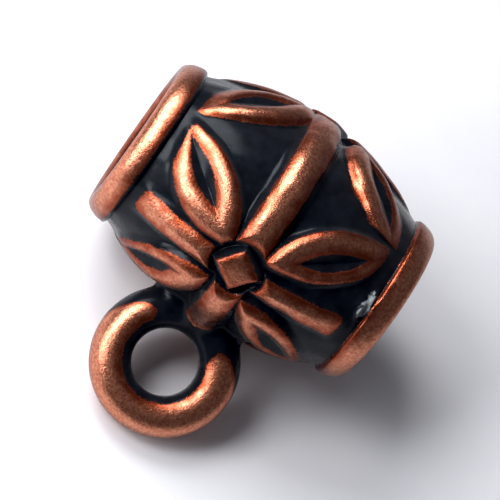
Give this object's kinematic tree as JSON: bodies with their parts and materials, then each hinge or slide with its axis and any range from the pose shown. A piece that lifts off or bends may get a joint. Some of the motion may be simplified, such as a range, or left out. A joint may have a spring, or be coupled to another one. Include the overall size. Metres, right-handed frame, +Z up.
{
  "type": "cast jewellery bail with loop",
  "caption": "Barrel bail with a straight cord bore, beaded rims, raised open-petalled flowers and a fused loop that a pendant hangs from.",
  "frame": {"origin": "middle of the cord bore, on its axis and midway between the two rims", "axes": "+X along the cord bore, +Z up from the surface that the bail lies on, and the loop leans down towards -Y"},
  "size_m": [0.01, 0.0112, 0.008],
  "materials": {
    "antiqued_copper": "copper plated cast metal with a blue-black patina left in the recesses and satin, finely grained copper on the crests"
  },
  "bodies": {
    "root": {"bail": "antiqued_copper"}
  },
  "joints": []
}
